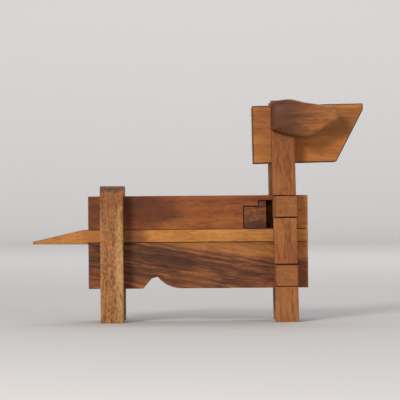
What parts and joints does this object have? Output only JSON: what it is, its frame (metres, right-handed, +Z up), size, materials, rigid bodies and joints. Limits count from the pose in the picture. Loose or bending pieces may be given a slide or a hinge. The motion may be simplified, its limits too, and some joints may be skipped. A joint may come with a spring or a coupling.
{
  "type": "interlocking wooden dog puzzle",
  "caption": "Take-apart wooden puzzle shaped as a dachshund: notched boards and square sticks held by a sliding tail key and a lock bar.",
  "frame": {"origin": "on the ground plane under the feet, in the middle of the overall length and width", "axes": "+X towards the snout, -X towards the tail, +Y to the dog's left, +Z up"},
  "size_m": [0.174, 0.0606, 0.1155],
  "materials": {
    "wood_dark": "oiled dark heartwood, satin",
    "wood_red": "oiled reddish brown heartwood, satin",
    "wood_brown": "oiled mid brown wood, satin",
    "wood_orange": "oiled orange brown wood, satin",
    "wood_golden": "oiled golden wood, satin"
  },
  "bodies": {
    "body": {"body_upper": "wood_red", "body_lower": "wood_dark", "front_leg_right": "wood_brown", "front_leg_left": "wood_brown", "shoulder_tie": "wood_orange", "chest_tie": "wood_orange", "ear_right": "wood_dark", "ear_left": "wood_dark", "rear_leg_right": "wood_golden", "rear_leg_left": "wood_golden", "rear_tie": "wood_brown"},
    "tail": {"tail_key": "wood_golden"},
    "lock": {"lock_bar": "wood_dark"},
    "head": {"head": "wood_orange", "neck_block": "wood_brown"}
  },
  "joints": [
    {"name": "tail_slide", "type": "slide", "parent": "body", "child": "tail", "axis": [-1, 0, 0], "range_m": [0, 0.12]},
    {"name": "lock_push", "type": "slide", "parent": "body", "child": "lock", "axis": [0, 1, 0], "range_m": [-0.026, 0.026]},
    {"name": "head_lift", "type": "slide", "parent": "body", "child": "head", "axis": [0, 0, 1], "range_m": [0, 0.052]}
  ]
}
